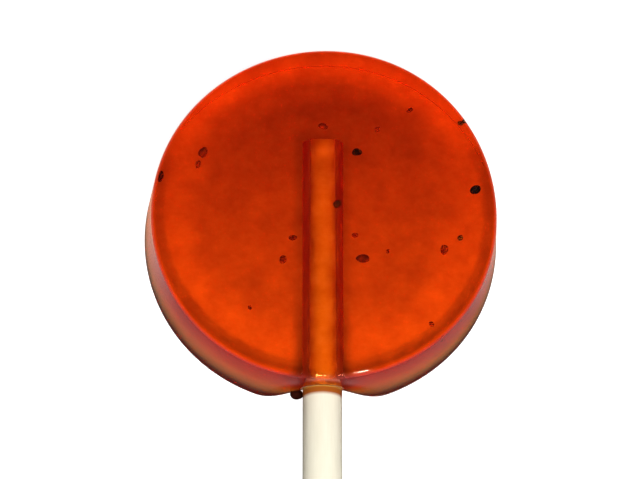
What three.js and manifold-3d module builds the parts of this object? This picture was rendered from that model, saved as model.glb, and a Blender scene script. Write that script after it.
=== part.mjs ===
// A flat round lollipop lying on its back: a disc of clear hard candy cast round a rolled paper stick.
// Units are millimetres. The origin is the centre of the candy's underside. +Z points up through the
// shown face, and +Y points along the stick from its free end towards the candy.
import * as THREE from "three";
import { mergeVertices } from "three/addons/utils/BufferGeometryUtils.js";
import Module from "manifold-3d";

// Paper stick
const STICK_DIAMETER = 4.0;
const STICK_LENGTH = 100.0;
const STICK_TIP_Y = 8.6;
const STICK_AXIS_HEIGHT = 3.0;
const STICK_END_EASE = 0.15;
const STICK_SIDES = 48;

// Candy disc: the mould gives the wall a draft, so the back is a little wider than the front
const CANDY_THICKNESS = 7.3;
const CANDY_BACK_RADIUS = 18.2;
const CANDY_FRONT_RADIUS = 17.85;
const FRONT_EDGE_ROUND = 0.45;
const BACK_EDGE_ROUND = 0.15;
const FRONT_EDGE_STEPS = 7;
const BACK_EDGE_STEPS = 3;
const WALL_STEPS = 6;
const WALL_TOP = CANDY_THICKNESS - FRONT_EDGE_ROUND;
const CANDY_SEGMENTS = 132;

// Share by which the segments crowd together on the stick's side of the disc
const SEGMENT_CROWDING = 0.55;

// Radius inside which the faces stay perfectly round and even
const EVEN_RADIUS = 13.0;

// The draft is larger at the sides: the shown face is narrower across the stick and a little off centre
const FACE_SQUEEZE = 0.3;
const FACE_SHIFT = 0.1;

// Where the stick comes out, the wall curves in towards the back edge, and the front edge stays round
const TUCK_DEPTH = 2.0;
const TUCK_HALF_WIDTH = 6.8;

// Slow waves in the cast outline, each a height, a number of waves round the rim and a phase
const OUTLINE_WAVES = [
  { height: 0.15, count: 2, phase: 0.75 },
  { height: 0.065, count: 3, phase: -2.3 },
  { height: 0.05, count: 4, phase: 2.5 },
];

// Clearance between the stick and the bore that the candy leaves for it
const STICK_CLEARANCE = 0.3;

// Dark fleck stuck to the candy beside the stick
const FLECK_RADIUS = 0.55;
const FLECK_PLACE = new THREE.Vector3(-2.5, -17.4, 1.0);

const wasm = await Module();
wasm.setup();

/** Turns a closed geometry into a solid that can be joined and cut. */
function toSolid(geometry) {
  const bare = geometry.clone();
  bare.deleteAttribute("normal");
  bare.deleteAttribute("uv");
  const merged = mergeVertices(bare);
  const corners = merged.index.array;
  const triangles = [];
  for (let i = 0; i < corners.length; i += 3) {
    const [a, b, c] = corners.slice(i, i + 3);
    if (a !== b && b !== c && c !== a) triangles.push(a, b, c);
  }
  const mesh = new wasm.Mesh({
    numProp: 3,
    vertProperties: new Float32Array(merged.attributes.position.array),
    triVerts: new Uint32Array(triangles),
  });
  return new wasm.Manifold(mesh);
}

/** Turns a solid back into a geometry. */
function toGeometry(solid) {
  const mesh = solid.getMesh();
  const geometry = new THREE.BufferGeometry();
  geometry.setAttribute("position", new THREE.BufferAttribute(mesh.vertProperties, 3));
  geometry.setIndex(new THREE.BufferAttribute(mesh.triVerts, 1));
  geometry.computeVertexNormals();
  return geometry;
}

/** Lists the points of a quarter round about a centre, from one angle to a quarter turn further. */
function quarterRound(centreRadius, centreHeight, round, startAngle, steps) {
  const points = [];
  for (let i = 0; i <= steps; i += 1) {
    const angle = startAngle + (i / steps) * (Math.PI / 2);
    const radius = centreRadius + round * Math.cos(angle);
    points.push(new THREE.Vector2(radius, centreHeight + round * Math.sin(angle)));
  }
  return points;
}

/** Lists the points between the two ends of a straight line, without the ends. */
function between(start, end, steps) {
  const points = [];
  for (let i = 1; i < steps; i += 1) points.push(start.clone().lerp(end, i / steps));
  return points;
}

/** Gives the candy's half section, from the middle of the back to the middle of the front. */
function candyProfile() {
  const backCentre = CANDY_BACK_RADIUS - BACK_EDGE_ROUND;
  const frontCentre = CANDY_FRONT_RADIUS - FRONT_EDGE_ROUND;
  const backRound = quarterRound(backCentre, BACK_EDGE_ROUND, BACK_EDGE_ROUND, -Math.PI / 2, BACK_EDGE_STEPS);
  const frontRound = quarterRound(frontCentre, WALL_TOP, FRONT_EDGE_ROUND, 0, FRONT_EDGE_STEPS);
  return [
    new THREE.Vector2(0, 0),
    new THREE.Vector2(EVEN_RADIUS, 0),
    ...backRound,
    ...between(backRound.at(-1), frontRound[0], WALL_STEPS),
    ...frontRound,
    new THREE.Vector2(EVEN_RADIUS, CANDY_THICKNESS),
    new THREE.Vector2(0, CANDY_THICKNESS),
  ];
}

/** A smooth hump that is 1 at the middle and 0 from the half width on. */
function hump(offset, halfWidth) {
  if (Math.abs(offset) >= halfWidth) return 0;
  return Math.cos((Math.PI / 2) * (offset / halfWidth)) ** 2;
}

/** How far the rim stands out of a true circle at an angle from the stick's side towards +X. */
function rimUnevenness(angle) {
  const waves = OUTLINE_WAVES.map(({ height, count, phase }) => height * Math.cos(count * angle + phase));
  return waves.reduce((sum, wave) => sum + wave, 0);
}

/** How far the wall is tucked in at a height, beside the stick or at a distance x from it. */
function wallTuck(x, height) {
  const share = Math.max(0, 1 - height / WALL_TOP);
  return TUCK_DEPTH * hump(x, TUCK_HALF_WIDTH) * share ** 2;
}

/** Moves the disc's points from the true circle to the cast outline, tucked in under the stick. */
function castOutline(geometry) {
  const position = geometry.attributes.position;
  const rimRadius = CANDY_FRONT_RADIUS - FRONT_EDGE_ROUND;
  for (let i = 0; i < position.count; i += 1) {
    const radius = Math.hypot(position.getX(i), position.getY(i));
    const evenAngle = Math.atan2(position.getX(i), -position.getY(i));
    const angle = evenAngle - SEGMENT_CROWDING * Math.sin(evenAngle);
    const share = THREE.MathUtils.smoothstep(radius, EVEN_RADIUS, rimRadius);
    const castRadius = radius + share * rimUnevenness(angle);
    const lift = position.getZ(i) / CANDY_THICKNESS;
    const narrowing = 1 - (lift * FACE_SQUEEZE) / CANDY_FRONT_RADIUS;
    const x = castRadius * Math.sin(angle) * narrowing + lift * FACE_SHIFT;
    const onStickSide = Math.abs(angle) < Math.PI / 2;
    const tuck = onStickSide ? share * wallTuck(x, position.getZ(i)) : 0;
    position.setX(i, x);
    position.setY(i, tuck - castRadius * Math.cos(angle));
  }
}

/** A round bar along the stick's axis, from its half section in radius and Y. */
function alongStick(points) {
  return new THREE.LatheGeometry(points, STICK_SIDES).translate(0, 0, STICK_AXIS_HEIGHT);
}

/** The bare disc with its rounded edges and cast outline. */
function makeDisc() {
  const disc = new THREE.LatheGeometry(candyProfile(), CANDY_SEGMENTS).rotateX(Math.PI / 2);
  castOutline(disc);
  return disc;
}

/** The space that the candy leaves for the stick, open where the stick comes out. */
function makeBore() {
  const radius = STICK_DIAMETER / 2 + STICK_CLEARANCE;
  const mouthY = -CANDY_BACK_RADIUS - STICK_DIAMETER;
  const endY = STICK_TIP_Y + STICK_CLEARANCE;
  const points = [
    new THREE.Vector2(0, mouthY),
    new THREE.Vector2(radius, mouthY),
    new THREE.Vector2(radius, endY),
    new THREE.Vector2(0, endY),
  ];
  return alongStick(points);
}

/** The fleck that stands out of the candy's rim beside the stick. */
function makeFleck() {
  const { x, y, z } = FLECK_PLACE;
  return new THREE.IcosahedronGeometry(FLECK_RADIUS, 1).translate(x, y, z);
}

/** The candy: disc and fleck in one piece, bored for the stick. */
function makeCandy() {
  const solid = toSolid(makeDisc()).add(toSolid(makeFleck())).subtract(toSolid(makeBore()));
  const material = new THREE.MeshStandardMaterial({
    color: 0xc23204,
    roughness: 0.08,
    metalness: 0,
    transparent: true,
    opacity: 0.7,
  });
  const mesh = new THREE.Mesh(toGeometry(solid), material);
  mesh.name = "candy";
  return mesh;
}

/** The paper stick, with its cut ends slightly eased. */
function makeStick() {
  const radius = STICK_DIAMETER / 2;
  const freeEndY = STICK_TIP_Y - STICK_LENGTH;
  const points = [
    new THREE.Vector2(0, freeEndY),
    new THREE.Vector2(radius - STICK_END_EASE, freeEndY),
    new THREE.Vector2(radius, freeEndY + STICK_END_EASE),
    new THREE.Vector2(radius, STICK_TIP_Y - STICK_END_EASE),
    new THREE.Vector2(radius - STICK_END_EASE, STICK_TIP_Y),
    new THREE.Vector2(0, STICK_TIP_Y),
  ];
  const material = new THREE.MeshStandardMaterial({ color: 0xf4f0df, roughness: 0.85, metalness: 0 });
  const mesh = new THREE.Mesh(alongStick(points), material);
  mesh.name = "stick";
  return mesh;
}

const lollipop = new THREE.Group();
lollipop.add(makeCandy(), makeStick());

export default lollipop;
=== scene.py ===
"""Looks of a flat round lollipop lying on its back.

A disc of clear boiled sugar is cast round a rolled paper stick, with dark spice flecks set in it.
All places are in metres in the part's own frame: the origin is the centre of the candy's underside,
+Z points up through the shown face and +Y runs along the stick towards the candy.
"""
import logging
import math
import random
from collections.abc import Callable, Iterator, Sequence
from contextlib import contextmanager
from dataclasses import dataclass, field
from enum import Enum

import bmesh
import bpy
from bmesh.types import BMEdge, BMFace
from bpy.types import Material, Node, NodeSocket, NodeTree, Object
from mathutils import Matrix, Vector


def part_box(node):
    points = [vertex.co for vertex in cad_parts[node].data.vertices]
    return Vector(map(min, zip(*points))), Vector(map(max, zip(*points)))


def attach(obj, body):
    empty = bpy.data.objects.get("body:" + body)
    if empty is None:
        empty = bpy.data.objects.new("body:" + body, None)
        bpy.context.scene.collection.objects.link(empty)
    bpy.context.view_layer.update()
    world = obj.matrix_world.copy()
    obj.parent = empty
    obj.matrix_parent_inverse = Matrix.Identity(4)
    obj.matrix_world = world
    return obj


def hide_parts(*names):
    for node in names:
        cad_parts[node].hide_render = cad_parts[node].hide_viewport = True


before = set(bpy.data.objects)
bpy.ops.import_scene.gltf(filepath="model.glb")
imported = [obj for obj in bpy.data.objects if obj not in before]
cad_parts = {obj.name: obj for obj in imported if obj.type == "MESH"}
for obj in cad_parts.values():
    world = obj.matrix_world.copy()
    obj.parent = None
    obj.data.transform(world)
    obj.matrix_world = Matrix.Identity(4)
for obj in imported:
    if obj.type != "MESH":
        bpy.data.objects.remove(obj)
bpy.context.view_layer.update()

MM = 0.001
BODY = "root"
LOG = logging.getLogger("lollipop")

# Share of a face's normal along an axis from which the face counts as facing that way
FACING = 0.9

# White in linear light
WHITE = (1.0, 1.0, 1.0, 1.0)

# Places in rising order, each with the level that something has there
Levels = tuple[tuple[float, float], ...]


def linear(hex_colour: str) -> tuple[float, float, float, float]:
    """Turns an sRGB hex colour into linear light.

    Args:
        hex_colour: The colour as "#rrggbb".

    Returns:
        Linear red, green and blue, and an alpha of 1.
    """
    channels = [int(hex_colour[i : i + 2], 16) / 255 for i in (1, 3, 5)]
    red, green, blue = (c / 12.92 if c <= 0.04045 else ((c + 0.055) / 1.055) ** 2.4 for c in channels)
    return red, green, blue, 1.0


def add_node(
    tree: NodeTree,
    kind: str,
    inputs: dict[str | int, object] | None = None,
    levels: Sequence[tuple[float, float]] = (),
    **settings: object,
) -> Node:
    """Adds a node with its settings and links.

    Args:
        tree: The node tree that takes the node.
        kind: The node's type name, without the "ShaderNode" that it starts with.
        inputs: What goes into the node, by the name or number of the input: a value, an output socket,
            or a node, which stands for its first output in use.
        levels: The grey levels that a colour ramp eases between, with their places from 0 to 1.
        **settings: The node's own properties.

    Returns:
        The new node.
    """
    node = tree.nodes.new(f"ShaderNode{kind}")
    for name, value in settings.items():
        setattr(node, name, value)
    for name, value in (inputs or {}).items():
        named = [socket for socket in node.inputs if socket.enabled and socket.name == name]
        socket = named[0] if named else node.inputs[name]
        if isinstance(value, Node):
            value = next(output for output in value.outputs if output.enabled)
        if isinstance(value, NodeSocket):
            tree.links.new(value, socket)
        else:
            socket.default_value = value
    if levels:
        node.color_ramp.interpolation = "EASE"
        stops = node.color_ramp.elements
        stops.remove(stops[-1])
        stops[0].position = levels[0][0]
        for place, _ in levels[1:]:
            stops.new(place)
        for stop, (_, level) in zip(stops, levels):
            stop.color = (level, level, level, 1.0)
    return node


def empty_material(name: str) -> Material:
    """Makes a node material with no nodes yet.

    Args:
        name: The material's name.

    Returns:
        The new material.
    """
    material = bpy.data.materials.new(name)
    material.use_nodes = True
    material.node_tree.nodes.clear()
    return material


def smooth_share(value: float, low: float, high: float) -> float:
    """Rises smoothly from 0 at low to 1 at high.

    Args:
        value: Where the share is read.
        low: The value up to which the share is 0.
        high: The value from which the share is 1.

    Returns:
        The share.
    """
    share = min(1.0, max(0.0, (value - low) / (high - low)))
    return share * share * (3 - 2 * share)


def hump(offset: float, half_width: float) -> float:
    """A smooth hump that is 1 at the middle and 0 from the half width on.

    Args:
        offset: Distance from the hump's middle.
        half_width: Distance at which the hump ends.

    Returns:
        The hump's height.
    """
    if abs(offset) >= half_width:
        return 0.0
    return math.cos(math.pi / 2 * offset / half_width) ** 2


class Element(Enum):
    """What is selected of a mesh, with the name that its list has there."""

    EDGE = "edges"
    FACE = "faces"


@contextmanager
def editing(piece: Object) -> Iterator[None]:
    """Holds a piece in edit mode with nothing selected.

    Args:
        piece: The mesh object to edit.
    """
    bpy.context.view_layer.objects.active = piece
    bpy.ops.object.mode_set(mode="EDIT")
    bpy.ops.mesh.select_all(action="DESELECT")
    yield
    bpy.ops.object.mode_set(mode="OBJECT")


def select(piece: Object, element: Element, test: Callable[..., bool]) -> None:
    """Selects the edges or faces of a piece in edit mode that pass a test, and nothing else.

    Args:
        piece: The mesh object in edit mode.
        element: Whether edges or faces are selected.
        test: Says whether an edge or face is wanted.
    """
    bpy.ops.mesh.select_mode(type=element.name)
    bpy.ops.mesh.select_all(action="DESELECT")
    mesh = bmesh.from_edit_mesh(piece.data)
    for candidate in getattr(mesh, element.value):
        candidate.select_set(test(candidate))
    bmesh.update_edit_mesh(piece.data)


def lowest(element: BMEdge | BMFace, axis: str) -> float:
    """Lowest place of an edge or face along an axis."""
    return min(getattr(vertex.co, axis) for vertex in element.verts)


def highest(element: BMEdge | BMFace, axis: str) -> float:
    """Highest place of an edge or face along an axis."""
    return max(getattr(vertex.co, axis) for vertex in element.verts)


def extent(element: BMEdge | BMFace, axis: str) -> float:
    """How far an edge or face reaches along an axis."""
    return highest(element, axis) - lowest(element, axis)


def settle(piece: Object, name: str) -> None:
    """Names a finished piece and makes it ride on the lollipop.

    Args:
        piece: The finished mesh object, with its place in its mesh.
        name: The piece's name.
    """
    piece.name = name
    piece.data.name = name
    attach(piece, BODY)
    LOG.info("%s: %d faces", name, len(piece.data.polygons))


class Depth(Enum):
    """How deep a fleck lies below the shown face, as a share of the candy's thickness."""

    SKIN = 0.05
    SHALLOW = 0.2
    MIDDLE = 0.42


@dataclass(frozen=True)
class BoiledSugar:
    """Clear amber-red boiled sugar, cast: a glossy, faintly cloudy face over a duller wall and underside.

    Attributes:
        name: The material's name.
        clear: Colour of the clearest sugar's surface.
        cloudy: Colour of the surface over faint clouds of tiny bubbles.
        cloud_size: Size of those clouds.
        cloud_detail: Number of finer layers in the clouds.
        cloud_grain: Strength of each finer layer.
        cloud_contrast: Range of the noise that runs from clear to cloudy.
        absorbed_per_mm: Share of red, green and blue light lost on each millimetre, as a rate.
        ior: Refractive index of boiled sugar.
        polish: Roughness of the shown face.
        wall_tint: Colour of the wall's surface, which the mould left hazy.
        wall_dullness: Roughness of the wall.
        wall_fade: Height over which the rounded edge's polish passes into the wall's dullness.
        dullness: Roughness of the underside, which lay on the slab.
        dull_height: Height up to which the underside's dullness reaches.
        bore_dullness: Roughness of the bore, which took the paper's grain.
        bore_skin: How far off the bore that dullness starts to fade out.
        collar: How far off the bore the wall stays polished, where the sugar drew in against the stick.
    """

    name: str = "boiled_sugar_cast_clear"
    clear: str = "#ffffff"
    cloudy: str = "#d8ccc0"
    cloud_size: float = 2.6 * MM
    cloud_detail: float = 4.0
    cloud_grain: float = 0.6
    cloud_contrast: tuple[float, float] = (0.32, 0.68)
    absorbed_per_mm: tuple[float, float, float] = (0.02, 0.365, 0.95)
    ior: float = 1.5
    polish: float = 0.03
    wall_tint: str = "#ccc6c0"
    wall_dullness: float = 0.25
    wall_fade: float = 0.6 * MM
    dullness: float = 0.7
    dull_height: float = 0.2 * MM
    bore_dullness: float = 0.85
    bore_skin: float = 0.06 * MM
    collar: float = 1.2 * MM

    def material(self, candy: "CandyDisc") -> Material:
        """Makes the material: glass that swallows blue first and red last, so thick parts glow red.

        Args:
            candy: The candy, whose wall and bore the surface follows.

        Returns:
            The candy's material.
        """
        material = empty_material(self.name)
        tree = material.node_tree
        place = add_node(tree, "TexCoord").outputs["Object"]
        across = add_node(tree, "VectorMath", {0: place, 1: (1, 0, 1)}, operation="MULTIPLY")
        from_bore = add_node(
            tree, "VectorMath", {0: across, 1: (0, 0, candy.stick.height)}, operation="DISTANCE"
        )
        wall = self.wall(tree, place, from_bore, candy)
        sugar = add_node(
            tree,
            "BsdfPrincipled",
            {
                "Base Color": self.tint(tree, place, wall),
                "Roughness": self.roughness(tree, place, from_bore, wall, candy),
                "IOR": self.ior,
                "Transmission Weight": 1.0,
            },
        )
        most = max(self.absorbed_per_mm)
        passed = [1 - rate / most for rate in self.absorbed_per_mm]
        depth_colour = add_node(
            tree, "VolumeAbsorption", {"Color": (*passed, 1.0), "Density": most / MM}
        )
        add_node(tree, "OutputMaterial", {"Surface": sugar, "Volume": depth_colour})
        return material

    def wall(self, tree: NodeTree, place: NodeSocket, from_bore: Node, candy: "CandyDisc") -> Node:
        """Lays out where the hazy wall shows: above the foot, below the rounded edge and off the collar.

        Args:
            tree: The candy's node tree.
            place: The place on the candy.
            from_bore: Distance of the place from the bore's axis.
            candy: The candy that the wall belongs to.

        Returns:
            A share that is 1 on the wall and 0 off it.
        """
        height = add_node(tree, "SeparateXYZ", {"Vector": place}).outputs["Z"]
        above_foot, below_edge, off_collar = [
            add_node(tree, "MapRange", {"Value": value, "From Min": start, "From Max": full})
            for value, start, full in (
                (height, self.dull_height, 2 * self.dull_height),
                (height, candy.wall_top, candy.wall_top - self.wall_fade),
                (from_bore, candy.bore_radius + self.collar, candy.bore_radius + 2 * self.collar),
            )
        ]
        wall = add_node(tree, "Math", {0: above_foot, 1: below_edge}, operation="MULTIPLY")
        return add_node(tree, "Math", {0: wall, 1: off_collar}, operation="MULTIPLY")

    def tint(self, tree: NodeTree, place: NodeSocket, wall: Node) -> Node:
        """Lays out the surface's colour: clear with faint clouds, and hazy on the wall.

        Args:
            tree: The candy's node tree.
            place: The place on the candy.
            wall: Share of the wall there.

        Returns:
            The colour.
        """
        clouds = add_node(
            tree,
            "TexNoise",
            {
                "Vector": place,
                "Scale": 1 / self.cloud_size,
                "Detail": self.cloud_detail,
                "Roughness": self.cloud_grain,
            },
        )
        low, high = self.cloud_contrast
        cloudiness = add_node(
            tree, "MapRange", {"Value": clouds.outputs["Fac"], "From Min": low, "From Max": high}
        )
        cast = add_node(
            tree,
            "Mix",
            {"Factor": cloudiness, "A": linear(self.clear), "B": linear(self.cloudy)},
            data_type="RGBA",
        )
        return add_node(
            tree, "Mix", {"Factor": wall, "A": cast, "B": linear(self.wall_tint)}, data_type="RGBA"
        )

    def roughness(
        self,
        tree: NodeTree,
        place: NodeSocket,
        from_bore: Node,
        wall: Node,
        candy: "CandyDisc",
    ) -> Node:
        """Lays out the surface's roughness: a polished face, a dull wall and underside, and a matt bore.

        Args:
            tree: The candy's node tree.
            place: The place on the candy.
            from_bore: Distance of the place from the bore's axis.
            wall: Share of the wall there.
            candy: The candy that has the bore.

        Returns:
            The roughness.
        """
        axes = add_node(tree, "SeparateXYZ", {"Vector": place})
        underside = add_node(
            tree,
            "MapRange",
            {
                "Value": axes.outputs["Z"],
                "From Min": self.dull_height,
                "From Max": 2 * self.dull_height,
                "To Min": self.dullness,
                "To Max": self.polish,
            },
        )
        beside_bore, along_bore = [
            add_node(
                tree,
                "MapRange",
                {
                    "Value": value,
                    "From Min": edge + self.bore_skin,
                    "From Max": edge + 2 * self.bore_skin,
                    "To Min": self.bore_dullness,
                    "To Max": 0.0,
                },
            )
            for value, edge in ((from_bore, candy.bore_radius), (axes.outputs["Y"], candy.bore_end))
        ]
        dull_wall = add_node(tree, "Math", {0: wall, 1: self.wall_dullness}, operation="MULTIPLY")
        outside = add_node(tree, "Math", {0: underside, 1: dull_wall}, operation="MAXIMUM")
        inside = add_node(tree, "Math", {0: beside_bore, 1: along_bore}, operation="MINIMUM")
        return add_node(tree, "Math", {0: outside, 1: inside}, operation="MAXIMUM")


@dataclass(frozen=True)
class RolledPaper:
    """Cream paper rolled tight into a stick: matt, with faint fibres that run along it.

    Attributes:
        name: The material's name.
        light: Colour of the paper's pale fibres.
        dark: Colour of the paper's dark fibres.
        crept: Colour of the paper at the candy's edge, where the sugar crept into it.
        stained: Colour of the paper just inside the candy, stained by the hot sugar.
        stained_tip: Colour of the paper at its tip; the stain darkens from the candy's edge towards it.
        stain_painted_shade: Colour of the paper down its sides inside the candy: the stain darkened as
            painted shade, where less light falls.
        fibre_width: Width of a fibre streak, drawn coarser than real fibres so that it shows.
        fibre_length: Length of a fibre streak.
        fibre_detail: Number of finer layers in the streaks.
        fibre_grain: Strength of each finer layer.
        relief: Depth of the fibre relief.
        roughness: Roughness of uncoated paper.
        gloss: Strength of its faint gloss.
        creep: Length of paper in front of the candy's wall that the sugar crept into.
        creep_fade: Length over which its stain ends.
        soak: Length over which the stain brightens inside the candy.
        painted_shade_height: Height below the stick's top over which painted shade darkens the stain down
            its sides.
    """

    name: str = "rolled_paper_uncoated"
    light: str = "#cdc9b8"
    dark: str = "#c0baa6"
    crept: str = "#84430f"
    stained: str = "#f8eb76"
    stained_tip: str = "#eac26b"
    stain_painted_shade: str = "#b8a256"
    fibre_width: float = 0.25 * MM
    fibre_length: float = 3.0 * MM
    fibre_detail: float = 4.0
    fibre_grain: float = 0.6
    relief: float = 0.012 * MM
    roughness: float = 0.85
    gloss: float = 0.15
    creep: float = 0.45 * MM
    creep_fade: float = 0.35 * MM
    soak: float = 0.8 * MM
    painted_shade_height: float = 0.6 * MM

    def material(self, candy_edge: float, tip: float, top: float) -> Material:
        """Makes the material: streaks of two creams with a faint relief, stained inside the candy, with
        painted shade down its sides there.

        Args:
            candy_edge: Y of the candy's edge on the stick's side.
            tip: Y of the stick's end inside the candy.
            top: Height of the stick's top.

        Returns:
            The stick's material.
        """
        material = empty_material(self.name)
        tree = material.node_tree
        place = add_node(tree, "TexCoord").outputs["Object"]
        axes = add_node(tree, "SeparateXYZ", {"Vector": place})
        along = axes.outputs["Y"]
        scale = (1 / self.fibre_width, 1 / self.fibre_length, 1 / self.fibre_width)
        stretched = add_node(tree, "Mapping", {"Vector": place, "Scale": scale})
        noise = add_node(
            tree,
            "TexNoise",
            {
                "Vector": stretched,
                "Scale": 1.0,
                "Detail": self.fibre_detail,
                "Roughness": self.fibre_grain,
            },
        )
        fibres = noise.outputs["Fac"]
        cream = add_node(
            tree,
            "Mix",
            {"Factor": fibres, "A": linear(self.dark), "B": linear(self.light)},
            data_type="RGBA",
        )
        crept_end = candy_edge - self.creep
        colour = linear(self.stained_tip)
        for value, start, full, before in (
            (along, candy_edge, tip, linear(self.stained)),
            # Painted shade: the stain darkens down the stick's sides inside the candy, where less light
            # falls
            (axes.outputs["Z"], top - self.painted_shade_height, top, linear(self.stain_painted_shade)),
            (along, candy_edge, candy_edge + self.soak, linear(self.crept)),
            (along, crept_end - self.creep_fade, crept_end, cream),
        ):
            share = add_node(tree, "MapRange", {"Value": value, "From Min": start, "From Max": full})
            colour = add_node(
                tree, "Mix", {"Factor": share, "A": before, "B": colour}, data_type="RGBA"
            )
        relief = add_node(tree, "Bump", {"Height": fibres, "Distance": self.relief})
        paper = add_node(
            tree,
            "BsdfPrincipled",
            {
                "Base Color": colour,
                "Roughness": self.roughness,
                "Specular IOR Level": self.gloss,
                "Normal": relief,
            },
        )
        add_node(tree, "OutputMaterial", {"Surface": paper})
        return material


@dataclass(frozen=True)
class SpiceFleck:
    """Dried spice: brown-red crumbs, mottled and dull, near black where they are dry.

    Attributes:
        name: The material's name.
        dark: Colour of a dry crumb's charred parts.
        light: Colour of a dry crumb's paler parts.
        soaked_dark: Colour of the dark parts of a crumb that soaked up sugar.
        soaked_light: Colour of the paler parts of such a crumb.
        soak: Name of the mesh attribute that says how far a crumb soaked up sugar.
        mottle: Size of the mottling.
        mottle_detail: Number of finer layers in the mottling.
        roughness: Roughness of a dry crumb.
        gloss: Strength of its gloss, which the sugar round it takes away.
    """

    name: str = "dried_spice_crumb"
    dark: str = "#0c0302"
    light: str = "#2c0b05"
    soaked_dark: str = "#8a5230"
    soaked_light: str = "#b67c4a"
    soak: str = "soak"
    mottle: float = 0.3 * MM
    mottle_detail: float = 3.0
    roughness: float = 0.7
    gloss: float = 0.05

    def material(self) -> Material:
        """Makes the material: crumbs from near black to red-brown, with paler patches.

        Returns:
            The flecks' material.
        """
        material = empty_material(self.name)
        tree = material.node_tree
        place = add_node(tree, "TexCoord").outputs["Object"]
        patches = add_node(
            tree, "TexNoise", {"Vector": place, "Scale": 1 / self.mottle, "Detail": self.mottle_detail}
        )
        dry, soaked = [
            add_node(
                tree,
                "Mix",
                {"Factor": patches.outputs["Fac"], "A": linear(dark), "B": linear(light)},
                data_type="RGBA",
            )
            for dark, light in ((self.dark, self.light), (self.soaked_dark, self.soaked_light))
        ]
        soak = add_node(tree, "Attribute", attribute_name=self.soak)
        colour = add_node(
            tree, "Mix", {"Factor": soak.outputs["Fac"], "A": dry, "B": soaked}, data_type="RGBA"
        )
        crumb = add_node(
            tree,
            "BsdfPrincipled",
            {"Base Color": colour, "Roughness": self.roughness, "Specular IOR Level": self.gloss},
        )
        add_node(tree, "OutputMaterial", {"Surface": crumb})
        return material


@dataclass
class PaperStick:
    """The rolled paper stick, placed by its solid in the frame.

    Attributes:
        sides: Number of facets round the stick.
        end_ease: Rounding of the cut ends.
        ease_steps: Number of facets across that rounding.
        seam_step: Thickness of the paper's outer edge, which shows as a seam along the stick.
        seam_angle: Where the seam runs, as an angle about the stick from +X towards +Z.
        layer_width: Width of a band of rolled layers on the cut ends.
        layer_step: How far the bands stand out of or behind each other.
        layers: Number of bands on a cut end.
        crease: Angle between faces from which their edge shows.
        finish: The stick's material.
        radius: Radius of its solid.
        free_end: Y of the end outside the candy.
        tip: Y of the end inside the candy.
        height: Height of its axis.
    """

    sides: int = 128
    end_ease: float = 0.12 * MM
    ease_steps: int = 3
    seam_step: float = 0.07 * MM
    seam_angle: float = math.radians(-28)
    layer_width: float = 0.24 * MM
    layer_step: float = 0.05 * MM
    layers: int = 6
    crease: float = math.radians(35)
    finish: RolledPaper = RolledPaper()
    radius: float = field(init=False)
    free_end: float = field(init=False)
    tip: float = field(init=False)
    height: float = field(init=False)

    def __post_init__(self) -> None:
        """Reads the stick's place from its solid."""
        low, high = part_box("stick")
        self.radius = (high.x - low.x) / 2
        self.free_end = low.y
        self.tip = high.y
        self.height = (low.z + high.z) / 2

    def build(self) -> Object:
        """Models the stick and dresses it.

        Returns:
            The finished stick.
        """
        stick = self.bar(self.radius, self.free_end, self.tip)
        self.cut_ends(stick)
        self.lay_seam(stick)
        bpy.ops.object.shade_smooth_by_angle(angle=self.crease)
        candy_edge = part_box("candy")[0].y
        stick.data.materials.append(self.finish.material(candy_edge, self.tip, self.height + self.radius))
        settle(stick, "stick_rolled_paper")
        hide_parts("stick")
        return stick

    def bar(self, radius: float, start: float, end: float) -> Object:
        """Adds a plain round bar on the stick's axis.

        Args:
            radius: The bar's radius.
            start: Y of its end away from the candy.
            end: Y of its other end.

        Returns:
            The bar.
        """
        bpy.ops.object.select_all(action="DESELECT")
        bpy.ops.mesh.primitive_cylinder_add(
            vertices=self.sides,
            radius=radius,
            depth=end - start,
            location=(0, (end + start) / 2, self.height),
            rotation=(math.pi / 2, 0, 0),
        )
        bpy.ops.object.transform_apply(location=True, rotation=True, scale=True)
        return bpy.context.active_object

    def cut_ends(self, stick: Object) -> None:
        """Eases the rims of the cut ends and steps their faces as the ends of rolled layers.

        Args:
            stick: The plain bar.
        """
        with editing(stick):
            select(stick, Element.EDGE, lambda edge: extent(edge, "y") < self.end_ease)
            bpy.ops.mesh.bevel(offset=self.end_ease, segments=self.ease_steps, affect="EDGES")
            select(stick, Element.FACE, lambda face: abs(face.normal.y) > FACING)
            for layer in range(self.layers):
                depth = self.layer_step if layer % 2 else -self.layer_step
                bpy.ops.mesh.inset(thickness=self.layer_width, depth=depth)

    def lay_seam(self, stick: Object) -> None:
        """Winds the outside in by one paper thickness per turn, so that the outer edge makes a step.

        Args:
            stick: The bar with its cut ends.
        """
        for vertex in stick.data.vertices:
            across = Vector((vertex.co.x, vertex.co.z - self.height))
            turn = (math.atan2(across.y, across.x) - self.seam_angle) / math.tau % 1.0
            shrink = 1 - turn * self.seam_step / self.radius
            vertex.co.x = across.x * shrink
            vertex.co.z = self.height + across.y * shrink


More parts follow.
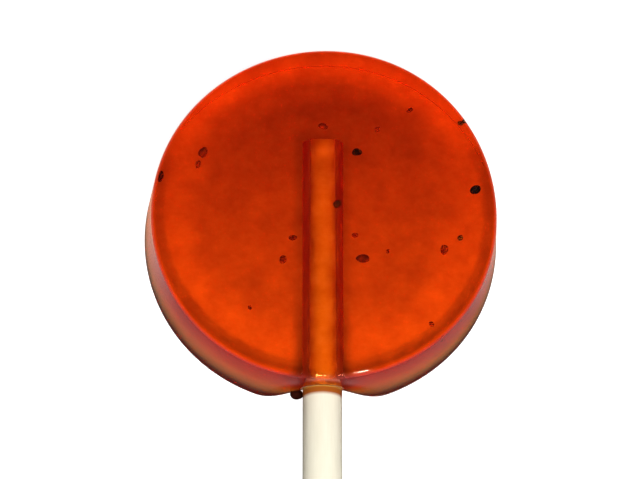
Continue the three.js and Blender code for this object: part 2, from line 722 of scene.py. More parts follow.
@dataclass
class CandyDisc:
    """The cast candy: a drafted disc with rounded edges, solid round the stick.

    Attributes:
        stick: The stick that the candy is cast round.
        back_radius: Radius at the underside.
        front_radius: Radius at the shown face.
        face_squeeze: How much further in the shown face's edge lies at the sides.
        face_shift: How far the shown face lies off the underside, towards +X.
        front_round: Rounding of the shown face's edge.
        front_steps: Number of facets across that rounding.
        back_round: Rounding of the underside's edge.
        back_steps: Number of facets across that rounding.
        segments: Number of facets round the rim.
        wall_rows: Number of rows of faces up the wall.
        hold_ring: Width of the ring that keeps the faces flat beside the rounded edges.
        bead_rings: Number of narrow rings of faces for the slope inside the bead.
        bead_zone: Width of all those rings, as a multiple of the slope's.
        face_rings: Number of wide rings of faces across each flat face.
        bead_radius: Radius of the crest of the bead round the shown face.
        bead_middle: Middle of the bead's circle, which the pour left off the disc's own.
        bead_height: How far that bead stands above the face on the stick's side.
        bead_far: Share of that height on the far side.
        bead_slope: Width of the slope from the face up to the bead.
        bead_stray: How far the slope strays in and out round the rim.
        bead_unevenness: Share by which the slope's height varies round the rim, below the even crest.
        bead_waves: Numbers of the waves round the rim that make it uneven.
        film: Thickness of the air film that the candy left round the stick as it shrank.
        film_mouth: Length over which the film closes where the stick comes out.
        film_closed: Thickness of the film at the mouth.
        film_steps: Number of facets across the rounding of the film's inner end.
        even_radius: Radius inside which the faces stay perfectly round.
        waves: Slow waves in the outline, each a height, a number round the rim and a phase.
        tuck_depth: How far the wall curves in at the back edge under the stick.
        tuck_half_width: Half the width of that tuck.
        ripple: Height of the slow ripples in the shown face.
        ripple_length: Length of those ripples.
        ripples: The ripples, each with its share of a turn per length along X and Y, and a phase.
        crease: Angle between faces from which their edge shows.
        finish: The candy's material.
        thickness: Thickness of its solid.
        wall_top: Height at which the wall turns into the rounded edge of the shown face.
        bore_radius: Radius of the bore that the stick lies in.
        bore_end: Y at which the bore ends inside the candy.
    """

    stick: PaperStick
    back_radius: float = 18.2 * MM
    front_radius: float = 17.85 * MM
    face_squeeze: float = 0.3 * MM
    face_shift: float = 0.1 * MM
    front_round: float = 0.45 * MM
    front_steps: int = 12
    back_round: float = 0.06 * MM
    back_steps: int = 5
    segments: int = 512
    wall_rows: int = 28
    hold_ring: float = 0.12 * MM
    bead_rings: int = 12
    bead_zone: float = 1.4
    face_rings: int = 9
    bead_radius: float = 17.0 * MM
    bead_middle: Vector = Vector((0.05 * MM, -0.45 * MM))
    bead_height: float = 0.15 * MM
    bead_far: float = 0.2
    bead_slope: float = 1.3 * MM
    bead_stray: float = 0.12 * MM
    bead_unevenness: float = 1.0
    bead_waves: tuple[int, ...] = (13, 29, 41, 53)
    film: float = 0.08 * MM
    film_mouth: float = 2.5 * MM
    film_closed: float = 0.02 * MM
    film_steps: int = 4
    even_radius: float = 13.0 * MM
    waves: tuple[tuple[float, int, float], ...] = (
        (0.15 * MM, 2, 0.75),
        (0.065 * MM, 3, -2.3),
        (0.05 * MM, 4, 2.5),
    )
    tuck_depth: float = 2.0 * MM
    tuck_half_width: float = 6.8 * MM
    ripple: float = 0.02 * MM
    ripple_length: float = 9.0 * MM
    ripples: tuple[tuple[float, float, float], ...] = ((0.9, 0.35, 0.7), (-0.5, 0.8, 2.1))
    crease: float = math.radians(40)
    finish: BoiledSugar = BoiledSugar()
    thickness: float = field(init=False)
    wall_top: float = field(init=False)
    bore_radius: float = field(init=False)
    bore_end: float = field(init=False)

    def __post_init__(self) -> None:
        """Reads the candy's thickness from its solid and works out what follows from it."""
        low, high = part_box("candy")
        self.thickness = high.z - low.z
        self.wall_top = self.thickness - self.front_round
        self.bore_radius = self.stick.radius + self.film
        self.bore_end = self.stick.tip + self.film

    def build(self) -> Object:
        """Models the candy and dresses it.

        Returns:
            The finished candy.
        """
        bpy.ops.object.select_all(action="DESELECT")
        bpy.ops.mesh.primitive_cylinder_add(
            vertices=self.segments,
            radius=self.back_radius,
            depth=self.thickness,
            location=(0, 0, self.thickness / 2),
        )
        candy = bpy.context.active_object
        bpy.ops.object.transform_apply(location=True, rotation=True, scale=True)
        self.round_edges(candy)
        self.ring_faces(candy)
        for vertex in candy.data.vertices:
            vertex.co = self.cast_point(vertex.co)
        self.bore(candy)
        bpy.ops.object.shade_smooth_by_angle(angle=self.crease)
        candy.data.materials.append(self.finish.material(self))
        settle(candy, "candy_disc")
        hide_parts("candy")
        return candy

    def round_edges(self, candy: Object) -> None:
        """Narrows the shown face, rounds both rims and cuts the wall into rows.

        Args:
            candy: The plain cylinder.
        """
        share = self.front_radius / self.back_radius
        middle = self.thickness / 2
        with editing(candy):
            select(candy, Element.FACE, lambda face: face.normal.z > FACING)
            bpy.ops.transform.resize(value=(share, share, 1), center_override=(0, 0, self.thickness))
            select(candy, Element.EDGE, lambda edge: lowest(edge, "z") > middle)
            bpy.ops.mesh.bevel(offset=self.front_round, segments=self.front_steps, affect="EDGES")
            select(candy, Element.EDGE, lambda edge: highest(edge, "z") < self.back_round / 2)
            bpy.ops.mesh.bevel(offset=self.back_round, segments=self.back_steps, affect="EDGES")
            select(candy, Element.EDGE, lambda edge: extent(edge, "z") > middle)
            bpy.ops.mesh.subdivide(number_cuts=self.wall_rows - 1)

    def ring_faces(self, candy: Object) -> None:
        """Fills both flat faces with rings, narrow ones for the bead, and closes their middles.

        Args:
            candy: The disc with its rounded edges.
        """
        narrow = self.bead_zone * self.bead_slope / self.bead_rings
        flat_radius = self.front_radius - self.front_round - self.hold_ring - narrow * self.bead_rings
        # Half a ring's width is left in the middle, where the poke closes the face
        wide = flat_radius / (self.face_rings + 0.5)
        with editing(candy):
            select(candy, Element.FACE, lambda face: len(face.verts) == self.segments)
            bpy.ops.mesh.inset(thickness=self.hold_ring)
            for _ in range(self.bead_rings):
                bpy.ops.mesh.inset(thickness=narrow)
            for _ in range(self.face_rings):
                bpy.ops.mesh.inset(thickness=wide)
            bpy.ops.mesh.poke()

    def cast_point(self, point: Vector) -> Vector:
        """Finds where a point of the even disc lies on the cast one: uneven rim, tuck, bead and ripples.

        Args:
            point: A point of the even disc.

        Returns:
            The point of the cast disc.
        """
        radius = math.hypot(point.x, point.y)
        angle = math.atan2(point.x, -point.y)
        share = smooth_share(radius, self.even_radius, self.front_radius - self.front_round)
        uneven = sum(height * math.cos(count * angle + phase) for height, count, phase in self.waves)
        cast_radius = radius + share * uneven
        z = point.z
        lift = z / self.thickness
        narrowing = 1 - lift * self.face_squeeze / self.front_radius
        x = cast_radius * math.sin(angle) * narrowing + lift * self.face_shift
        y = -cast_radius * math.cos(angle)
        if abs(angle) < math.pi / 2:
            y += share * self.tuck(x, z)
        if z > self.wall_top:
            z += self.rippled(x, y) * (1 - share) - self.sunk(x, y, angle)
        return Vector((x, y, z))

    def sunk(self, x: float, y: float, angle: float) -> float:
        """Finds how far the shown face lies below the bead's crest.

        Args:
            x: Place across the stick.
            y: Place along the stick.
            angle: Angle of the place round the disc, from the stick's side.

        Returns:
            The depth below the crest.
        """
        stray = sum(math.sin(count * angle + count) for count in self.bead_waves) / len(self.bead_waves)
        heave = sum(math.cos(count * angle - count) for count in self.bead_waves) / len(self.bead_waves)
        top = self.bead_radius + self.bead_stray * stray
        off_middle = (Vector((x, y)) - self.bead_middle).length
        rise = smooth_share(off_middle, top - self.bead_slope, top)
        rise *= 1 + self.bead_unevenness * heave * (1 - rise)
        far = smooth_share(y, -self.bead_radius / 2, self.bead_radius / 2)
        return self.bead_height * (1 + (self.bead_far - 1) * far) * (1 - rise)

    def tuck(self, x: float, z: float) -> float:
        """How far the wall is tucked in at a height, beside the stick or at a distance x from it."""
        share = max(0.0, 1 - z / self.wall_top)
        return self.tuck_depth * hump(x, self.tuck_half_width) * share**2

    def rippled(self, x: float, y: float) -> float:
        """Height of the shown face's slow ripples at a place.

        Args:
            x: Place across the stick.
            y: Place along the stick.

        Returns:
            The height.
        """
        turn = math.tau / self.ripple_length
        swings = [math.sin(turn * (by_x * x + by_y * y) + phase) for by_x, by_y, phase in self.ripples]
        return self.ripple * sum(swings) / len(swings)

    def bore(self, candy: Object) -> None:
        """Cuts the space of the stick and its air film, which closes towards the mouth.

        Args:
            candy: The cast disc without its bore.
        """
        stick = self.stick
        cutter = stick.bar(self.bore_radius, -self.back_radius - 2 * stick.radius, self.bore_end)
        closed = -self.front_radius + self.film_mouth / 2
        share = (stick.radius + self.film_closed) / self.bore_radius
        with editing(cutter):
            for place in (closed, closed + self.film_mouth):
                bpy.ops.mesh.select_all(action="SELECT")
                bpy.ops.mesh.bisect(plane_co=(0, place, 0), plane_no=(0, 1, 0))
            select(cutter, Element.FACE, lambda face: highest(face, "y") < closed + self.film)
            bpy.ops.transform.resize(value=(share, 1, share), center_override=(0, closed, stick.height))
            select(cutter, Element.EDGE, lambda edge: lowest(edge, "y") > self.bore_end - self.film / 2)
            bpy.ops.mesh.bevel(offset=self.film, segments=self.film_steps, affect="EDGES")
        cut = candy.modifiers.new("bore", "BOOLEAN")
        cut.object = cutter
        cut.operation = "DIFFERENCE"
        cut.solver = "EXACT"
        bpy.context.view_layer.objects.active = candy
        bpy.ops.object.modifier_apply(modifier=cut.name)
        bpy.data.objects.remove(cutter)
        candy.select_set(True)


@dataclass(frozen=True)
class Fleck:
    """One fleck as the shown face shows it.

    Attributes:
        x: Place to the right of the candy's middle.
        y: Place towards the candy's top.
        length: Longer size.
        width: Shorter size.
        turn: Angle of the longer size from +X, in degrees.
        depth: How deep the fleck lies.
        soak: How far it soaked up sugar, from 0 for a dry black crumb to 1 for a pale one.
    """

    x: float
    y: float
    length: float
    width: float
    turn: float
    depth: Depth
    soak: float


@dataclass
class SpiceFlecks:
    """The dark flecks set in the candy, as one mesh.

    Attributes:
        candy: The candy that holds them.
        shade_crumb_place: Place of the near-black crumb that stands out of the rim beside the stick,
            partly a fleck and partly painted shade between stick and candy.
        shade_crumb_size: Length, width and thickness of that crumb.
        flatness: Thickness of a fleck, as a share of the mean of its length and width.
        bites: Number of dents and bulges in a fleck.
        bite_depth: How far they go in or out, as a share of the fleck's size.
        bite_sharpness: Power by which they narrow.
        subdivisions: Fineness of a fleck's mesh.
        crease: Angle between faces from which their edge shows.
        seed: Seed of the flecks' random shapes.
        finish: The flecks' material.
    """

    candy: CandyDisc
    shade_crumb_place: Vector = Vector((-2.5 * MM, -17.4 * MM, 1.0 * MM))
    shade_crumb_size: Vector = Vector((1.5 * MM, 1.1 * MM, 1.1 * MM))
    flatness: float = 2 / 3
    bites: int = 7
    bite_depth: float = 0.3
    bite_sharpness: int = 3
    subdivisions: int = 3
    crease: float = math.radians(50)
    seed: int = 11
    finish: SpiceFleck = SpiceFleck()

    def seen(self) -> list[Fleck]:
        """Lists the flecks that the shown face shows.

        Returns:
            The flecks.
        """
        rows = [
            (3.41, 6.93, 1.15, 0.95, 20, Depth.SHALLOW, 0.05),
            (15.31, 2.56, 1.05, 0.95, 40, Depth.SKIN, 0.0),
            (1.37, 1.16, 0.9, 0.8, 60, Depth.SHALLOW, 0.15),
            (-3.04, -2.15, 0.85, 0.5, 15, Depth.MIDDLE, 0.7),
            (-4.09, -4.5, 0.95, 0.75, 75, Depth.MIDDLE, 0.8),
            (3.97, -4.33, 1.3, 0.85, 8, Depth.MIDDLE, 0.45),
            (12.26, -3.18, 1.2, 0.7, 82, Depth.MIDDLE, 0.8),
            (13.81, -2.38, 0.6, 0.5, 60, Depth.SHALLOW, 0.4),
            (6.55, -3.48, 0.5, 0.4, 80, Depth.MIDDLE, 0.95),
            (3.22, -1.78, 0.65, 0.5, 0, Depth.MIDDLE, 0.95),
            (-12.19, 7.14, 1.15, 0.8, 60, Depth.MIDDLE, 0.75),
            (-12.73, 5.85, 0.9, 0.55, 80, Depth.MIDDLE, 0.75),
            (-0.01, 10.24, 1.0, 0.7, 0, Depth.MIDDLE, 0.75),
            (8.92, 12.18, 0.8, 0.45, 25, Depth.MIDDLE, 0.75),
            (5.62, 9.99, 0.7, 0.55, 50, Depth.MIDDLE, 0.9),
            (14.01, 10.34, 0.6, 0.45, 130, Depth.SHALLOW, 0.2),
            (-16.56, 4.4, 1.2, 0.5, 80, Depth.MIDDLE, 0.2),
            (10.89, -11.3, 0.7, 0.5, 130, Depth.MIDDLE, 0.85),
            (-7.32, -9.73, 0.4, 0.35, 40, Depth.MIDDLE, 1.0),
        ]
        return [
            Fleck(x * MM, y * MM, length * MM, width * MM, turn, depth, soak)
            for x, y, length, width, turn, depth, soak in rows
        ]

    def build(self) -> Object:
        """Models the flecks as lumps, joins them and dresses them.

        Returns:
            The finished flecks.
        """
        draw = random.Random(self.seed)
        lumps = []
        for fleck in self.seen():
            height = self.candy.thickness * (1 - fleck.depth.value)
            place = Vector((fleck.x, fleck.y, height))
            thickness = self.flatness * (fleck.length + fleck.width) / 2
            size = Vector((fleck.length, fleck.width, thickness))
            lumps.append(self.lump(place, size, math.radians(fleck.turn), fleck.soak, draw))
        # A dry near-black crumb at the rim beside the stick: partly a fleck, partly painted shade in the
        # gap between stick and candy
        lumps.append(self.lump(self.shade_crumb_place, self.shade_crumb_size, 0.0, 0.0, draw))
        bpy.ops.object.select_all(action="DESELECT")
        for lump in lumps:
            lump.select_set(True)
        bpy.context.view_layer.objects.active = lumps[0]
        bpy.ops.object.join()
        flecks = bpy.context.active_object
        bpy.ops.object.shade_smooth_by_angle(angle=self.crease)
        flecks.data.materials.append(self.finish.material())
        settle(flecks, "flecks_spice")
        return flecks

    def lump(self, place: Vector, size: Vector, turn: float, soak: float, draw: random.Random) -> Object:
        """Models one crumb with an uneven surface.

        Args:
            place: The crumb's middle.
            size: Its length, width and thickness.
            turn: Angle of its length from +X.
            soak: How far it soaked up sugar.
            draw: The random numbers that shape it.

        Returns:
            The crumb.
        """
        bpy.ops.object.select_all(action="DESELECT")
        # The ball is 1 across, so that its scale is its size
        bpy.ops.mesh.primitive_ico_sphere_add(
            subdivisions=self.subdivisions, radius=0.5, location=place, rotation=(0, 0, turn)
        )
        crumb = bpy.context.active_object
        ways = [
            Vector((draw.gauss(0, 1), draw.gauss(0, 1), draw.gauss(0, 1))).normalized()
            for _ in range(self.bites)
        ]
        depths = [draw.uniform(-self.bite_depth, self.bite_depth) for _ in ways]
        for vertex in crumb.data.vertices:
            out = vertex.co.normalized()
            shares = [max(0.0, out.dot(way)) ** self.bite_sharpness for way in ways]
            vertex.co *= 1 + sum(depth * share for depth, share in zip(depths, shares))
        crumb.scale = size
        bpy.ops.object.transform_apply(location=True, rotation=True, scale=True)
        soaks = crumb.data.attributes.new(self.finish.soak, "FLOAT", "POINT")
        soaks.data.foreach_set("value", [soak] * len(crumb.data.vertices))
        return crumb


@dataclass(frozen=True)
class GlowingFloor:
    """A white light table: plain white to look at, and painted light and shade to look through the candy
    at.

    Attributes:
        name: The material's name.
        white: Brightness of the floor as it is seen past the lollipop.
        matt: Grey of the floor's own surface, which scatters the lamps' light.
        pool_near: Y at which the pool of light under the candy is full.
        pool_far: Y at which it has faded out.
        pool_glow: Brightness of the full pool.
        pool_middle: Middle of the pool's rings.
        far_tint: Colour of the pool's far side, which is lit through the candy.
        tint_start: Y from which the pool takes on that colour.
        tint_full: Y from which it has that colour in full.
        near_gain: How the pool brightens and fades outwards on the stick's side, as radii with gains.
        far_gain: The same on the other side.
        far_start: Y from which the far side's gain starts to count.
        far_full: Y from which it counts in full.
        stick_shade: Share of the pool's light left under the stick at its mouth and further in.
        shade_start: Y up to which the share is the mouth's.
        shade_full: Y from which it is the other one.
        ring_shade: Share of the ring's light left under the stick.
        stick_shade_inner: Distance from the stick's middle up to which its shade is full.
        stick_shade_outer: Distance at which its shade has gone.
        near_ring: Painted light round the candy's foot, which its wall mirrors, darkest next to the foot
            as a painted contact shadow, as radii with brightnesses.
        far_ring: The same on the other side.
        ring_tint: Colour of the far side's ring, painted light that has passed through the candy.
        ring_start: Y from which the far side's ring starts to count.
        ring_full: Y from which it counts in full.
        foot_radius: Radius at which the pool ends and that ring starts.
        foot_blend: Width over which they run into each other.
        reach: Radius past which nothing changes any more.
    """

    name: str = "floor_white_light_table"
    white: float = 0.9
    matt: str = "#aaaaaa"
    pool_near: float = -14 * MM
    pool_far: float = 40 * MM
    pool_glow: float = 0.95
    pool_middle: Vector = Vector((0.15 * MM, 1.9 * MM, 0))
    far_tint: str = "#ffcab3"
    tint_start: float = -14 * MM
    tint_full: float = 14 * MM
    near_gain: Levels = (
        (11.0 * MM, 1.0),
        (15.2 * MM, 1.3),
        (16.0 * MM, 1.32),
        (17.2 * MM, 0.84),
        (18.0 * MM, 0.42),
        (18.6 * MM, 0.12),
        (19.2 * MM, 0.02),
    )
    far_gain: Levels = (
        (11.2 * MM, 1.0),
        (14.1 * MM, 1.65),
        (15.0 * MM, 2.4),
        (15.6 * MM, 3.0),
        (16.3 * MM, 3.5),
        (17.0 * MM, 4.0),
        (17.6 * MM, 3.0),
    )
    far_start: float = 5 * MM
    far_full: float = 20 * MM
    stick_shade: tuple[float, float] = (0.3, 0.66)
    shade_start: float = -14.5 * MM
    shade_full: float = -7 * MM
    ring_shade: float = 0.1
    stick_shade_inner: float = 2.0 * MM
    stick_shade_outer: float = 3.4 * MM
    near_ring: Levels = (
        (18.3 * MM, 0.02),
        (18.6 * MM, 0.06),
        (19.0 * MM, 0.19),
        (19.4 * MM, 0.32),
        (20.1 * MM, 0.3),
        (20.8 * MM, 0.17),
        (22.5 * MM, 0.45),
    )
    far_ring: Levels = (
        (18.4 * MM, 0.2),
        (18.55 * MM, 0.5),
        (18.8 * MM, 1.1),
        (20.0 * MM, 1.3),
    )
    ring_tint: str = "#ffc4a0"
    ring_start: float = -10.5 * MM
    ring_full: float = 4 * MM
    foot_radius: float = 18.2 * MM
    foot_blend: float = 0.1 * MM
    reach: float = 24 * MM

    def material(self, candy: CandyDisc) -> Material:
        """Makes the material.

        Args:
            candy: The candy that lies on the floor, whose outline the light follows.

        Returns:
            The floor's material.
        """
        material = empty_material(self.name)
        tree = material.node_tree
        below = add_node(tree, "Emission", {"Color": self.glow(tree, candy), "Strength": 1.0})
        shine = add_node(tree, "Emission", {"Color": WHITE, "Strength": self.white})
        matt = add_node(tree, "BsdfDiffuse", {"Color": linear(self.matt)})
        seen = add_node(tree, "AddShader", {0: shine, 1: matt})
        by_camera = add_node(tree, "LightPath").outputs["Is Camera Ray"]
        mixed = add_node(tree, "MixShader", {0: by_camera, 1: below, 2: seen})
        add_node(tree, "OutputMaterial", {"Surface": mixed})
        return material

    def glow(self, tree: NodeTree, candy: CandyDisc) -> Node:
        """Lays out the painted light and shade under and round the candy.

        Args:
            tree: The floor's node tree.
            candy: The candy that lies on the floor.

        Returns:
            The light's colour and brightness at each place.
        """
        place = add_node(tree, "TexCoord").outputs["Object"]
        axes = add_node(tree, "SeparateXYZ", {"Vector": place})
        along = axes.outputs["Y"]
        clear = self.clear_of_stick(tree, axes, candy.stick.tip)
        radius = self.evened_radius(tree, place, axes, candy)
        foot_end = self.foot_radius + self.foot_blend
        past_foot = add_node(
            tree, "MapRange", {"Value": radius, "From Min": self.foot_radius, "From Max": foot_end}
        )
        pool = self.pool_light(tree, place, along, clear)
        ring = self.ring_light(tree, radius, along, clear)
        return add_node(tree, "Mix", {"Factor": past_foot, "A": pool, "B": ring}, data_type="RGBA")

    def clear_of_stick(self, tree: NodeTree, axes: Node, stick_tip: float) -> Node:
        """Lays out where the floor is clear of the stick's shade.

        Args:
            tree: The floor's node tree.
            axes: The place on the floor, split into X, Y and Z.
            stick_tip: Y of the stick's end inside the candy.

        Returns:
            A share that is 0 under the stick and 1 clear of it.
        """
        off_axis = add_node(tree, "Math", {0: axes.outputs["X"]}, operation="ABSOLUTE")
        beside, beyond = [
            add_node(
                tree,
                "MapRange",
                {"Value": value, "From Min": start, "From Max": full},
                interpolation_type="SMOOTHSTEP",
            )
            for value, start, full in (
                (off_axis, self.stick_shade_inner, self.stick_shade_outer),
                (axes.outputs["Y"], stick_tip, stick_tip + self.stick_shade_outer),
            )
        ]
        return add_node(tree, "Math", {0: beside, 1: beyond}, operation="MAXIMUM")

    def evened_radius(self, tree: NodeTree, place: NodeSocket, axes: Node, candy: CandyDisc) -> Node:
        """Lays out the distance from the candy's middle, less the waves in its outline.

        Args:
            tree: The floor's node tree.
            place: The place on the floor.
            axes: That place, split into X, Y and Z.
            candy: The candy that has the outline.

        Returns:
            The distance, which is the same all along the candy's foot.
        """
        radius = add_node(tree, "VectorMath", {0: place}, operation="LENGTH")
        to_stick = add_node(tree, "Math", {0: axes.outputs["Y"], 1: -1.0}, operation="MULTIPLY")
        angle = add_node(tree, "Math", {0: axes.outputs["X"], 1: to_stick}, operation="ARCTAN2")
        for height, count, phase in candy.waves:
            turned = add_node(tree, "Math", {0: angle, 1: count, 2: phase}, operation="MULTIPLY_ADD")
            wave = add_node(tree, "Math", {0: turned}, operation="COSINE")
            radius = add_node(tree, "Math", {0: wave, 1: -height, 2: radius}, operation="MULTIPLY_ADD")
        return radius

    def pool_light(self, tree: NodeTree, place: NodeSocket, along: NodeSocket, clear: Node) -> Node:
        """Lays out the pool of light under the candy.

        Args:
            tree: The floor's node tree.
            place: The place on the floor.
            along: Its Y.
            clear: Share of the place that is clear of the stick's shade.

        Returns:
            The pool's colour and brightness.
        """
        radius = add_node(tree, "VectorMath", {0: place, 1: self.pool_middle}, operation="DISTANCE")
        far = add_node(
            tree,
            "MapRange",
            {"Value": along, "From Min": self.far_start, "From Max": self.far_full},
            interpolation_type="SMOOTHSTEP",
        )
        gain = self.two_sided(tree, radius, far, (self.near_gain, self.far_gain))
        fading = add_node(
            tree,
            "MapRange",
            {
                "Value": along,
                "From Min": self.pool_near,
                "From Max": self.pool_far,
                "To Min": self.pool_glow,
                "To Max": 0.0,
            },
            interpolation_type="SMOOTHSTEP",
        )
        level = add_node(tree, "Math", {0: fading, 1: gain}, operation="MULTIPLY")
        mouth_shade, inner_shade = self.stick_shade
        shade = add_node(
            tree,
            "MapRange",
            {
                "Value": along,
                "From Min": self.shade_start,
                "From Max": self.shade_full,
                "To Min": mouth_shade,
                "To Max": inner_shade,
            },
        )
        tinted = add_node(
            tree, "MapRange", {"Value": along, "From Min": self.tint_start, "From Max": self.tint_full}
        )
        return self.tinted_light(tree, level, tinted, self.far_tint, clear, shade)

    def ring_light(self, tree: NodeTree, radius: Node, along: NodeSocket, clear: Node) -> Node:
        """Lays out the ring of light round the candy's foot.

        Args:
            tree: The floor's node tree.
            radius: The evened distance from the candy's middle.
            along: Y of the place on the floor.
            clear: Share of the place that is clear of the stick's shade.

        Returns:
            The ring's colour and brightness.
        """
        far = add_node(
            tree,
            "MapRange",
            {"Value": along, "From Min": self.ring_start, "From Max": self.ring_full},
            interpolation_type="SMOOTHSTEP",
        )
        level = self.two_sided(tree, radius, far, (self.near_ring, self.far_ring))
        return self.tinted_light(tree, level, far, self.ring_tint, clear, self.ring_shade)

    def two_sided(self, tree: NodeTree, radius: Node, far: Node, sides: tuple[Levels, Levels]) -> Node:
        """Lays out a level by the radius, in one way near the stick and in another on the far side.

        Args:
            tree: The floor's node tree.
            radius: Distance from the middle.
            far: Share of the far side's way.
            sides: The levels by the stick and on the far side, as radii with levels.

        Returns:
            The level.
        """
        share = add_node(tree, "Math", {0: radius, 1: self.reach}, operation="DIVIDE")
        near_level, far_level = [
            add_node(
                tree, "ValToRGB", {"Fac": share}, [(stop / self.reach, level) for stop, level in levels]
            )
            for levels in sides
        ]
        return add_node(
            tree, "Mix", {"Factor": far, "A": near_level, "B": far_level}, data_type="FLOAT"
        )

    def tinted_light(
        self,
        tree: NodeTree,
        level: Node,
        tinted: Node,
        tint: str,
        clear: Node,
        shade: Node | float,
    ) -> Node:
        """Lays out light that passes from white to a tint and is dimmed in the stick's shade.

        Args:
            tree: The floor's node tree.
            level: The light's brightness.
            tinted: Share of the tint.
            tint: The tint's colour.
            clear: Share of the place that is clear of the stick's shade.
            shade: Share of the light left in full shade.

        Returns:
            The light's colour and brightness.
        """
        colour = add_node(
            tree, "Mix", {"Factor": tinted, "A": WHITE, "B": linear(tint)}, data_type="RGBA"
        )
        left = add_node(tree, "MapRange", {"Value": clear, "To Min": shade})
        dimmed = add_node(tree, "Math", {0: level, 1: left}, operation="MULTIPLY")
        return add_node(tree, "VectorMath", {0: colour, "Scale": dimmed}, operation="SCALE")


@dataclass(frozen=True)
class Lamp:
    """A soft lamp aimed at the candy.

    Attributes:
        name: The lamp's name.
        turn: Angle round the candy from the stick's side towards +X, in degrees.
        rise: Angle above the floor, in degrees.
        distance: Distance from the candy's middle.
        width: Width of the lamp.
        height: Height of the lamp.
        power: Power in watts.
        colour: Colour of its light.
        mirrored: Whether the lamp only glints in glossy surfaces, or else lights pieces without a glint.
    """

    name: str
    turn: float
    rise: float
    distance: float
    width: float
    height: float
    power: float
    colour: str = "#ffffff"
    mirrored: bool = False

    def hang(self) -> None:
        """Hangs the lamp."""
        turn = math.radians(self.turn)
        rise = math.radians(self.rise)
        way = Vector((math.cos(rise) * math.sin(turn), -math.cos(rise) * math.cos(turn), math.sin(rise)))
        light = bpy.data.lights.new(self.name, "AREA")
        light.shape = "RECTANGLE"
        light.size = self.width
        light.size_y = self.height
        light.energy = self.power
        light.color = linear(self.colour)[:3]
        lamp = bpy.data.objects.new(self.name, light)
        bpy.context.scene.collection.objects.link(lamp)
        aimed = way.to_track_quat("Z", "Y").to_matrix().to_4x4()
        lamp.matrix_world = Matrix.Translation(way * self.distance) @ aimed
        lamp.visible_glossy = self.mirrored
        lamp.visible_diffuse = not self.mirrored
        lamp.visible_transmission = not self.mirrored
        lamp.visible_camera = False


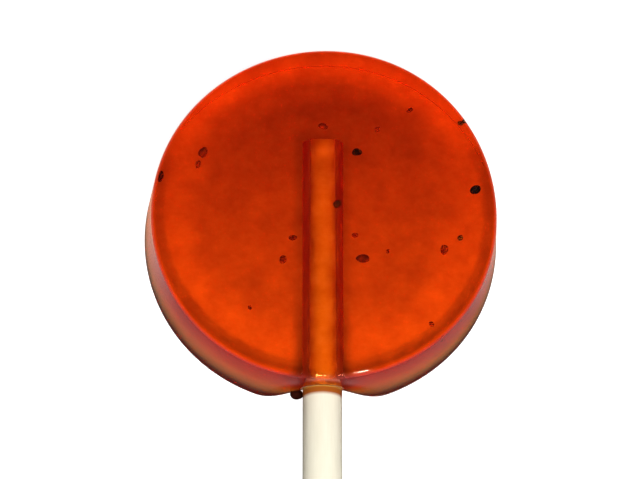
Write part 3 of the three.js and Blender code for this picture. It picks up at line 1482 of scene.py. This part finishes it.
@dataclass
class Studio:
    """White floor, soft light and the camera.

    Attributes:
        candy: The candy, whose outline the floor's light follows.
        floor_size: Width of the floor.
        floor_drop: How far the floor lies under the candy, so that their faces don't coincide.
        floor: The floor's material.
        sky_white: Brightness of the backdrop as it is seen past the lollipop.
        sky_levels: Brightness of the sky's light upwards from the horizon, as heights with brightnesses.
        camera_tilt: Angle of the view from straight down, towards the stick's free end.
        camera_lean: Angle of the view towards -X.
        camera_distance: Distance from the origin.
        picture_width: Width that the picture shows at the origin.
        origin_right: How far right of the picture's middle the origin appears.
        origin_up: How far above the picture's middle the origin appears.
    """

    candy: CandyDisc
    floor_size: float = 12.0
    floor_drop: float = 0.02 * MM
    floor: GlowingFloor = GlowingFloor()
    sky_white: float = 1.05
    sky_levels: Levels = ((0.0, 0.7), (0.25, 0.28), (0.4, 0.2), (0.65, 0.03))
    camera_tilt: float = math.radians(22.5)
    camera_lean: float = math.radians(1.9)
    camera_distance: float = 350 * MM
    picture_width: float = 65.66 * MM
    origin_right: float = 0.12 * MM
    origin_up: float = 0.1 * MM

    def lamps(self) -> list[Lamp]:
        """Lists the lamps: a large soft key and three narrow ones that sparkle on the rim.

        Returns:
            The lamps.
        """
        return [
            Lamp("key", 8, 52, 420 * MM, 180 * MM, 260 * MM, 3.9),
            Lamp("sparkle_middle", 1.9, 57, 400 * MM, 20 * MM, 100 * MM, 1.2, "#ffa24a", mirrored=True),
            Lamp("sparkle_near", 11.7, 45, 400 * MM, 14 * MM, 60 * MM, 0.08, "#ffd9b4", mirrored=True),
            Lamp("sparkle_far", 25.8, 57, 400 * MM, 18 * MM, 100 * MM, 1.0, "#ffe6c8", mirrored=True),
        ]

    def build(self) -> None:
        """Makes the camera, the floor and the lights."""
        self.place_camera()
        self.lay_floor()
        self.light_sky()
        for lamp in self.lamps():
            lamp.hang()
        bpy.context.scene.view_settings.view_transform = "Standard"

    def place_camera(self) -> None:
        """Places the camera at the photograph's viewing angle, with the stick upright in the picture."""
        away = Vector(
            (
                -math.sin(self.camera_lean),
                -math.sin(self.camera_tilt) * math.cos(self.camera_lean),
                math.cos(self.camera_tilt) * math.cos(self.camera_lean),
            )
        )
        along_stick = Vector((0, 1, 0))
        up = (along_stick - away * along_stick.dot(away)).normalized()
        right = up.cross(away)
        lens = bpy.data.cameras.new("camera")
        lens.lens = lens.sensor_width * self.camera_distance / self.picture_width
        camera = bpy.data.objects.new("camera", lens)
        bpy.context.scene.collection.objects.link(camera)
        place = away * self.camera_distance - right * self.origin_right - up * self.origin_up
        turned = Matrix((right, up, away)).transposed().to_4x4()
        camera.matrix_world = Matrix.Translation(place) @ turned
        bpy.context.scene.camera = camera

    def lay_floor(self) -> None:
        """Lays the floor just under the candy."""
        bpy.ops.object.select_all(action="DESELECT")
        bpy.ops.mesh.primitive_plane_add(size=self.floor_size, location=(0, 0, -self.floor_drop))
        floor = bpy.context.active_object
        floor.name = "floor"
        floor.data.materials.append(self.floor.material(self.candy))

    def light_sky(self) -> None:
        """Makes a white backdrop that lights the candy softly from low down and hardly from overhead."""
        world = bpy.data.worlds.new("studio")
        bpy.context.scene.world = world
        world.use_nodes = True
        tree = world.node_tree
        tree.nodes.clear()
        way = add_node(tree, "TexCoord").outputs["Generated"]
        height = add_node(tree, "SeparateXYZ", {"Vector": way}).outputs["Z"]
        light = add_node(tree, "ValToRGB", {"Fac": height}, self.sky_levels)
        by_camera = add_node(tree, "LightPath").outputs["Is Camera Ray"]
        strength = add_node(
            tree, "Mix", {"Factor": by_camera, "A": light, "B": self.sky_white}, data_type="FLOAT"
        )
        sky = add_node(tree, "Background", {"Color": WHITE, "Strength": strength})
        add_node(tree, "OutputWorld", {"Surface": sky})


def main() -> None:
    """Builds the studio and every piece of the lollipop in order."""
    logging.basicConfig(level=logging.INFO, format="%(name)s: %(message)s")
    stick = PaperStick()
    candy = CandyDisc(stick)
    Studio(candy).build()
    stick.build()
    candy.build()
    SpiceFlecks(candy).build()


if __name__ == "__main__":
    main()
